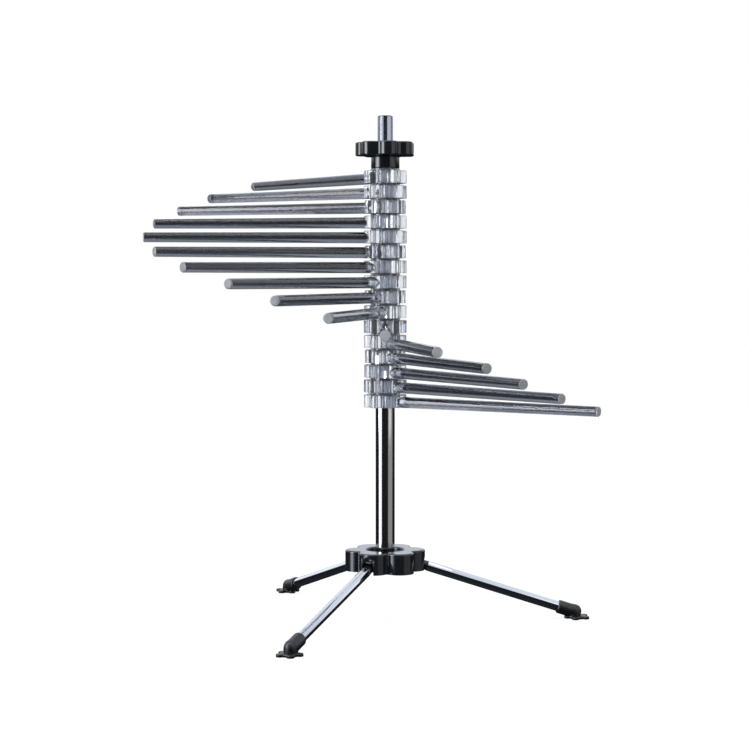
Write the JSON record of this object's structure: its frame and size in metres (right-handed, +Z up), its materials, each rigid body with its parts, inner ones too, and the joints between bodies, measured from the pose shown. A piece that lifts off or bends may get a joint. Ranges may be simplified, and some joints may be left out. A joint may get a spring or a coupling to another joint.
{
  "type": "pasta drying rack",
  "caption": "Tabletop pasta drying rack: clear arms swing on a central mast, clamped by a star knob, on a lobed hub with folding legs and rubber feet.",
  "frame": {"origin": "on the mast's axis, at the level of the table on which the feet stand", "axes": "+Z up along the mast, +X to the viewer's right, +Y away from the viewer"},
  "size_m": [0.3712, 0.3624, 0.4215],
  "materials": {
    "hub_moulding": "gloss black",
    "hub_cover": "matte black",
    "fasteners": "zinc plated",
    "mast_steel": "polished stainless",
    "plug": "matte black",
    "core_clear": "clear, polished",
    "clamp_moulding": "gloss black",
    "arm_clear": "clear, polished",
    "leg_steel": "bright chrome",
    "knuckle": "satin black",
    "foot_rubber": "matte black"
  },
  "bodies": {
    "base": {"base_hub": "hub_moulding", "base_cover": "hub_cover", "mast_tube": "mast_steel", "core_rod": "core_clear", "cover_screws": "fasteners", "leg_pins": "fasteners", "tube_plug": "plug", "mast_bolt": "fasteners", "mast_washer": "fasteners"},
    "sleeve": {"pressure_sleeve": "clamp_moulding"},
    "knob": {"star_knob": "clamp_moulding"},
    "arm_01": {"arm_01": "arm_clear"},
    "arm_02": {"arm_02": "arm_clear"},
    "arm_03": {"arm_03": "arm_clear"},
    "arm_04": {"arm_04": "arm_clear"},
    "arm_05": {"arm_05": "arm_clear"},
    "arm_06": {"arm_06": "arm_clear"},
    "arm_07": {"arm_07": "arm_clear"},
    "arm_08": {"arm_08": "arm_clear"},
    "arm_09": {"arm_09": "arm_clear"},
    "arm_10": {"arm_10": "arm_clear"},
    "arm_11": {"arm_11": "arm_clear"},
    "arm_12": {"arm_12": "arm_clear"},
    "arm_13": {"arm_13": "arm_clear"},
    "arm_14": {"arm_14": "arm_clear"},
    "arm_15": {"arm_15": "arm_clear"},
    "arm_16": {"arm_16": "arm_clear"},
    "leg_1": {"leg_tube_1": "leg_steel", "leg_knuckle_1": "knuckle", "foot_1": "foot_rubber"},
    "leg_2": {"leg_tube_2": "leg_steel", "leg_knuckle_2": "knuckle", "foot_2": "foot_rubber"},
    "leg_3": {"leg_tube_3": "leg_steel", "leg_knuckle_3": "knuckle", "foot_3": "foot_rubber"}
  },
  "joints": [
    {"name": "arm_01_swing", "type": "hinge", "parent": "base", "child": "arm_01", "pos_m": [0, 0, 0.3718], "axis": [0, 0, 1], "continuous": true},
    {"name": "arm_02_swing", "type": "hinge", "parent": "base", "child": "arm_02", "pos_m": [0, 0, 0.3594], "axis": [0, 0, 1], "continuous": true},
    {"name": "arm_03_swing", "type": "hinge", "parent": "base", "child": "arm_03", "pos_m": [0, 0, 0.347], "axis": [0, 0, 1], "continuous": true},
    {"name": "arm_04_swing", "type": "hinge", "parent": "base", "child": "arm_04", "pos_m": [0, 0, 0.3346], "axis": [0, 0, 1], "continuous": true},
    {"name": "arm_05_swing", "type": "hinge", "parent": "base", "child": "arm_05", "pos_m": [0, 0, 0.3222], "axis": [0, 0, 1], "continuous": true},
    {"name": "arm_06_swing", "type": "hinge", "parent": "base", "child": "arm_06", "pos_m": [0, 0, 0.3098], "axis": [0, 0, 1], "continuous": true},
    {"name": "arm_07_swing", "type": "hinge", "parent": "base", "child": "arm_07", "pos_m": [0, 0, 0.2974], "axis": [0, 0, 1], "continuous": true},
    {"name": "arm_08_swing", "type": "hinge", "parent": "base", "child": "arm_08", "pos_m": [0, 0, 0.285], "axis": [0, 0, 1], "continuous": true},
    {"name": "arm_09_swing", "type": "hinge", "parent": "base", "child": "arm_09", "pos_m": [0, 0, 0.2726], "axis": [0, 0, 1], "continuous": true},
    {"name": "arm_10_swing", "type": "hinge", "parent": "base", "child": "arm_10", "pos_m": [0, 0, 0.2602], "axis": [0, 0, 1], "continuous": true},
    {"name": "arm_11_swing", "type": "hinge", "parent": "base", "child": "arm_11", "pos_m": [0, 0, 0.2478], "axis": [0, 0, 1], "continuous": true},
    {"name": "arm_12_swing", "type": "hinge", "parent": "base", "child": "arm_12", "pos_m": [0, 0, 0.2354], "axis": [0, 0, 1], "continuous": true},
    {"name": "arm_13_swing", "type": "hinge", "parent": "base", "child": "arm_13", "pos_m": [0, 0, 0.223], "axis": [0, 0, 1], "continuous": true},
    {"name": "arm_14_swing", "type": "hinge", "parent": "base", "child": "arm_14", "pos_m": [0, 0, 0.2106], "axis": [0, 0, 1], "continuous": true},
    {"name": "arm_15_swing", "type": "hinge", "parent": "base", "child": "arm_15", "pos_m": [0, 0, 0.1982], "axis": [0, 0, 1], "continuous": true},
    {"name": "arm_16_swing", "type": "hinge", "parent": "base", "child": "arm_16", "pos_m": [0, 0, 0.1858], "axis": [0, 0, 1], "continuous": true},
    {"name": "sleeve_lift", "type": "slide", "parent": "base", "child": "sleeve", "axis": [0, 0, 1], "range_m": [0, 0.009]},
    {"name": "knob_turn", "type": "hinge", "parent": "sleeve", "child": "knob", "pos_m": [0, 0, 0.3883], "axis": [0, 0, 1], "range_deg": [0, 1080]},
    {"name": "leg_1_fold", "type": "hinge", "parent": "base", "child": "leg_1", "pos_m": [0.02196, 0.00127, 0.05], "axis": [-0.0576, 0.9983, 0], "range_deg": [0, 72.2]},
    {"name": "leg_2_fold", "type": "hinge", "parent": "base", "child": "leg_2", "pos_m": [-0.01208, 0.01839, 0.05], "axis": [-0.8358, -0.549, 0], "range_deg": [0, 72.2]},
    {"name": "leg_3_fold", "type": "hinge", "parent": "base", "child": "leg_3", "pos_m": [-0.00989, -0.01965, 0.05], "axis": [0.8934, -0.4493, 0], "range_deg": [0, 72.2]}
  ],
  "couplings": [
    {"joint": "sleeve_lift", "follows": "knob_turn", "m_per_rad": 0.00047746}
  ]
}
